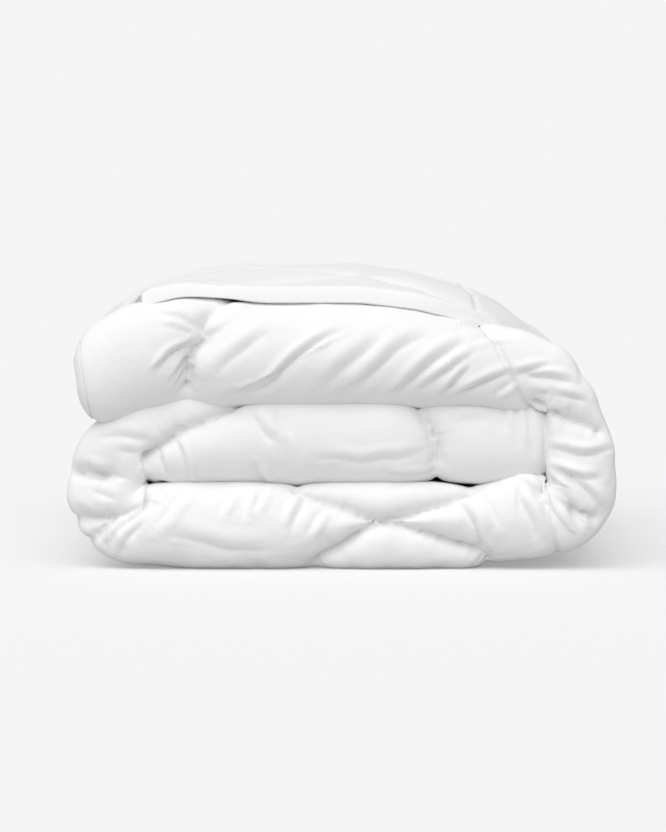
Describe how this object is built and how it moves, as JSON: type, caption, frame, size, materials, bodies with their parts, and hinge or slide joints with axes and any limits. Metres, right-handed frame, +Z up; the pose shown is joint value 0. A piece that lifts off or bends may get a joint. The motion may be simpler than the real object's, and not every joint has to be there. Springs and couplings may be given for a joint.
{
  "type": "folded duvet",
  "caption": "Thick white quilted duvet, folded in thirds front to back and again in thirds side to side into a soft rectangular bundle.",
  "frame": {"origin": "centre of the folded bundle's footprint, on the surface it lies on", "axes": "+X along the width, towards the right bend; +Y from the front folds to the back folds; +Z up"},
  "size_m": [0.741, 0.7, 0.411],
  "materials": {
    "face_cotton": "fine white cotton percale with a soft sheen, puckered at the quilting",
    "back_cotton": "fine white cotton percale with a soft sheen, wrinkled at the folds",
    "hem_binding": "double-turned white cotton edge with a row of stitches",
    "fibre_fill": "bonded white polyester fibre",
    "quilting_thread": "white polyester quilting thread",
    "label_tape": "blank white satin tape"
  },
  "bodies": {
    "folded_base": {"fill_inner_end": "fibre_fill", "fill_middle": "fibre_fill", "fill_left_bend": "fibre_fill", "fill_bottom_left": "fibre_fill", "fill_bottom_right": "fibre_fill", "fill_right_bend_lower": "fibre_fill", "seam_middle_seam": "quilting_thread", "seam_left_bend_top": "quilting_thread", "seam_left_bend_bottom": "quilting_thread", "seam_bottom_seam": "quilting_thread", "seam_right_bend_bottom": "quilting_thread", "seam_fold_line": "quilting_thread", "face_cloth_middle": "face_cotton", "back_cloth_middle": "back_cotton", "front_hem_middle": "hem_binding", "back_hem_middle": "hem_binding", "face_cloth_left_bend": "face_cotton", "back_cloth_left_bend": "back_cotton", "front_hem_left_bend": "hem_binding", "back_hem_left_bend": "hem_binding", "face_cloth_bottom": "face_cotton", "back_cloth_bottom": "back_cotton", "front_hem_bottom": "hem_binding", "back_hem_bottom": "hem_binding", "face_cloth_right_bend_lower": "face_cotton", "back_cloth_right_bend_lower": "back_cotton", "front_hem_right_bend_lower": "hem_binding", "back_hem_right_bend_lower": "hem_binding", "edge_inner_end": "hem_binding", "care_label": "label_tape"},
    "top_third": {"fill_right_bend_upper": "fibre_fill", "fill_shoulder": "fibre_fill", "fill_top": "fibre_fill", "fill_outer_end": "fibre_fill", "seam_right_bend_top": "quilting_thread", "seam_shoulder_seam": "quilting_thread", "seam_outer_seam": "quilting_thread", "face_cloth_right_bend_upper": "face_cotton", "back_cloth_right_bend_upper": "back_cotton", "front_hem_right_bend_upper": "hem_binding", "back_hem_right_bend_upper": "hem_binding", "face_cloth_top": "face_cotton", "back_cloth_top": "back_cotton", "front_hem_top": "hem_binding", "back_hem_top": "hem_binding", "edge_outer_end": "hem_binding"}
  },
  "joints": [
    {"name": "top_fold", "type": "hinge", "parent": "folded_base", "child": "top_third", "pos_m": [0.3705, 0, 0.17], "axis": [0, 1, 0], "range_deg": [0, 45]}
  ]
}
